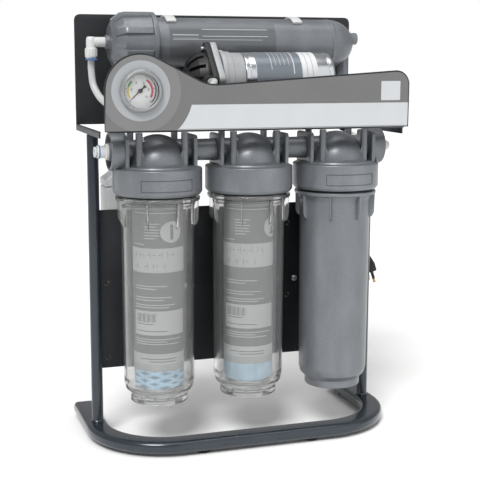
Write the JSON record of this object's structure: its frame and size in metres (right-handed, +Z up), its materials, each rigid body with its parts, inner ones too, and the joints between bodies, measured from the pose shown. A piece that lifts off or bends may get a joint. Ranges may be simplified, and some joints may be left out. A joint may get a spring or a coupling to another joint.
{
  "type": "reverse osmosis unit",
  "caption": "Reverse osmosis water unit on a tube stand: filter housings under a shelf, with booster pump, membrane vessel and pressure gauge above.",
  "frame": {"origin": "on the floor under the middle of the stand, without the cord", "axes": "+X to the right seen from the front, +Y to the back, +Z up"},
  "size_m": [0.4448, 0.2243, 0.5797],
  "materials": {
    "slate_paint": "dark slate-blue metallic paint, smooth gloss",
    "rubber_feet": "moulded rubber, matt",
    "black_sheet": "black powder coat, satin",
    "screw_steel": "zinc-plated steel, satin",
    "overlay_print": "printed plastic film, satin",
    "gauge_case": "moulded plastic, matt",
    "gauge_dial": "printed white dial, satin",
    "gauge_bezel": "moulded pale plastic, satin",
    "gauge_lens": "clear window, polished",
    "needle_paint": "black paint, satin",
    "grey_plastic": "silver-grey moulded plastic with a fine metallic flake, satin",
    "clear_plastic": "clear moulded plastic with a faint grey-green tint, polished",
    "filter_wound": "wound polypropylene yarn, matt",
    "filter_smooth": "pale blue melt-blown fibre, matt",
    "filter_carbon": "carbon block in a white net sleeve, matt",
    "seal_rubber": "rubber ring, satin",
    "white_fittings": "moulded acetal, satin",
    "membrane_wrap": "tape-wrapped membrane, satin",
    "pump_black": "moulded plastic, satin",
    "pump_flange": "moulded plastic, matt",
    "pump_adaptor": "die-cast, as cast",
    "motor_steel": "plated steel, bright",
    "hose_plastic": "polyethylene tube, satin",
    "supply_case": "moulded plastic, satin",
    "cord_black": "soft moulded plastic, satin"
  },
  "bodies": {
    "frame": {"base_tube": "slate_paint", "cap_elbow": "white_fittings", "coil_tie": "cord_black", "cord_clip": "cord_black", "cord_coil": "cord_black", "cord_gland": "cord_black", "cord_lead": "cord_black", "cord_peg": "cord_black", "cord_tail": "cord_black", "coupling_1": "grey_plastic", "coupling_2": "grey_plastic", "feed_hose": "hose_plastic", "foot_back_left": "rubber_feet", "foot_back_right": "rubber_feet", "foot_front_left": "rubber_feet", "foot_front_right": "rubber_feet", "front_panel": "black_sheet", "gauge_bezel": "gauge_bezel", "gauge_case": "gauge_case", "gauge_dial": "gauge_dial", "gauge_lens": "gauge_lens", "head_1": "grey_plastic", "head_2": "grey_plastic", "head_3": "grey_plastic", "inlet_fitting": "white_fittings", "left_post": "slate_paint", "membrane_cap": "grey_plastic", "membrane_element": "membrane_wrap", "membrane_seal": "seal_rubber", "membrane_vessel": "grey_plastic", "outlet_elbow": "white_fittings", "panel_overlay": "overlay_print", "panel_screw_left": "screw_steel", "panel_screw_right": "screw_steel", "plug": "cord_black", "power_supply": "supply_case", "power_supply_lid": "supply_case", "pump_adaptor": "pump_adaptor", "pump_cradle": "pump_black", "pump_flange": "pump_flange", "pump_head": "pump_black", "pump_motor": "motor_steel", "rear_panel": "black_sheet", "right_post": "slate_paint", "suction_hose": "hose_plastic", "top_bracket": "black_sheet", "vessel_clip_left": "white_fittings", "vessel_clip_right": "white_fittings"},
    "needle": {"gauge_needle": "needle_paint"},
    "pump_rotor": {"pump_rotor": "motor_steel"},
    "inlet_collet": {"inlet_collet": "white_fittings"},
    "filter_1": {"cartridge_1": "filter_wound"},
    "housing_bowl_1": {"bowl_1": "clear_plastic", "bowl_seal_1": "seal_rubber"},
    "filter_2": {"cartridge_2": "filter_smooth"},
    "housing_bowl_2": {"bowl_2": "clear_plastic", "bowl_seal_2": "seal_rubber"},
    "filter_3": {"cartridge_3": "filter_carbon"},
    "housing_bowl_3": {"bowl_3": "grey_plastic", "bowl_seal_3": "seal_rubber"}
  },
  "joints": [
    {"name": "needle_turn", "type": "hinge", "parent": "frame", "child": "needle", "pos_m": [-0.1605, -0.107, 0.4782], "axis": [0, 1, 0], "range_deg": [0, 270]},
    {"name": "bowl_1_travel", "type": "slide", "parent": "frame", "child": "filter_1", "axis": [0, 0, -1], "range_m": [0, 0.012]},
    {"name": "bowl_1_turn", "type": "hinge", "parent": "filter_1", "child": "housing_bowl_1", "pos_m": [-0.126, -0.048, 0.3788], "axis": [0, 0, -1], "range_deg": [0, 720]},
    {"name": "bowl_2_travel", "type": "slide", "parent": "frame", "child": "filter_2", "axis": [0, 0, -1], "range_m": [0, 0.012]},
    {"name": "bowl_2_turn", "type": "hinge", "parent": "filter_2", "child": "housing_bowl_2", "pos_m": [0, -0.048, 0.3788], "axis": [0, 0, -1], "range_deg": [0, 720]},
    {"name": "bowl_3_travel", "type": "slide", "parent": "frame", "child": "filter_3", "axis": [0, 0, -1], "range_m": [0, 0.012]},
    {"name": "bowl_3_turn", "type": "hinge", "parent": "filter_3", "child": "housing_bowl_3", "pos_m": [0.126, -0.048, 0.3788], "axis": [0, 0, -1], "range_deg": [0, 720]},
    {"name": "motor_turn", "type": "hinge", "parent": "frame", "child": "pump_rotor", "pos_m": [0.064, -0.022, 0.4917], "axis": [1, 0, 0], "continuous": true},
    {"name": "collet_press", "type": "slide", "parent": "frame", "child": "inlet_collet", "axis": [1, 0, 0], "range_m": [0, 0.0015]}
  ],
  "couplings": [
    {"joint": "bowl_1_travel", "follows": "bowl_1_turn", "m_per_rad": 0.00095493},
    {"joint": "bowl_2_travel", "follows": "bowl_2_turn", "m_per_rad": 0.00095493},
    {"joint": "bowl_3_travel", "follows": "bowl_3_turn", "m_per_rad": 0.00095493}
  ]
}
